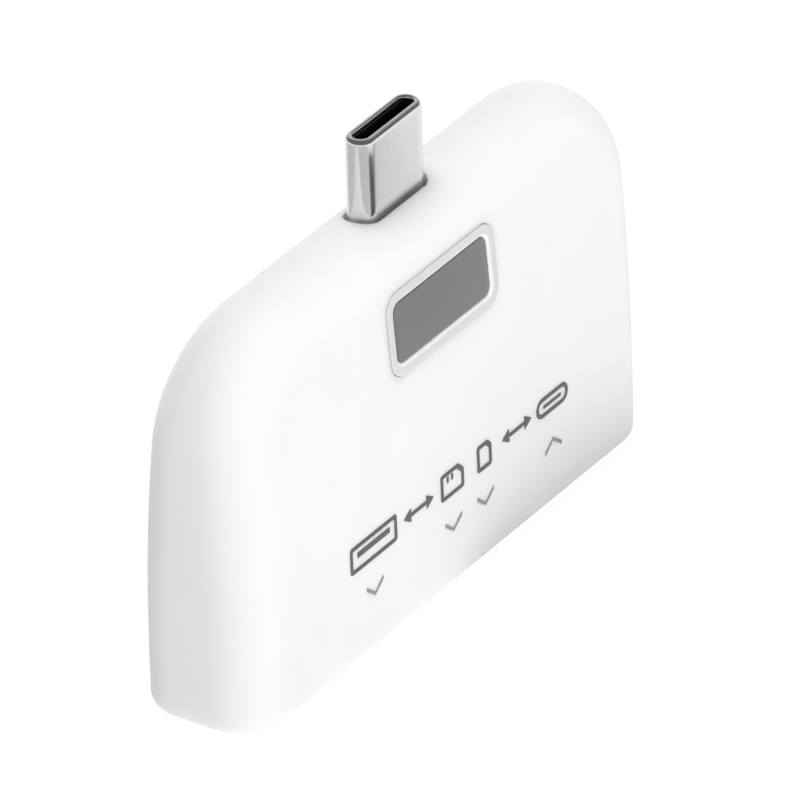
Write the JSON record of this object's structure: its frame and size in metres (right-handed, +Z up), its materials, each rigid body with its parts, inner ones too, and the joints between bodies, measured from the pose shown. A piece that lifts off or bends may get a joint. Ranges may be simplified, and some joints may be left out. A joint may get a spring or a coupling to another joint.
{
  "type": "hub and card reader",
  "caption": "Pocket hub and memory card reader: white crowned body with a reversible plug on top, a grey window and ports in the bottom end.",
  "frame": {"origin": "middle of the bottom end", "axes": "+Z up along the plug, +X along the width, front with the window looks along -Y"},
  "size_m": [0.0538, 0.0112, 0.0382],
  "materials": {
    "white_plastic": "satin",
    "frosted_plastic": "frosted",
    "smoked_plastic": "polished",
    "plug_metal": "polished nickel",
    "spring_steel": "bright",
    "socket_metal": "bright",
    "contact_metal": "gold plated",
    "tinned_metal": "tinned",
    "black_plastic": "matt",
    "socket_insulator": "matt",
    "board": "solder resist",
    "chip_plastic": "matt",
    "ceramic": "matt",
    "lamp_plastic": "clear"
  },
  "bodies": {
    "root": {"housing": "white_plastic", "end_cap": "white_plastic", "window_frame": "frosted_plastic", "window_lens": "smoked_plastic", "plug_shell": "plug_metal", "plug_insulator": "black_plastic", "plug_contacts_front": "contact_metal", "plug_contacts_back": "contact_metal", "plug_latch": "spring_steel", "plug_ground_spring_front": "spring_steel", "plug_ground_spring_back": "spring_steel", "circuit_board": "board", "host_socket_shell": "socket_metal", "host_socket_body": "socket_insulator", "host_socket_contacts": "contact_metal", "card_socket_base": "black_plastic", "card_socket_cover": "socket_metal", "card_socket_contacts": "contact_metal", "small_card_socket_base": "black_plastic", "small_card_socket_cover": "socket_metal", "small_card_socket_contacts": "contact_metal", "reader_chip": "chip_plastic", "reader_chip_leads": "tinned_metal", "crystal_base": "ceramic", "crystal_lid": "tinned_metal", "regulator": "chip_plastic", "regulator_leads": "tinned_metal", "indicator_lamp": "lamp_plastic", "capacitors": "ceramic", "resistors": "chip_plastic"}
  },
  "joints": []
}
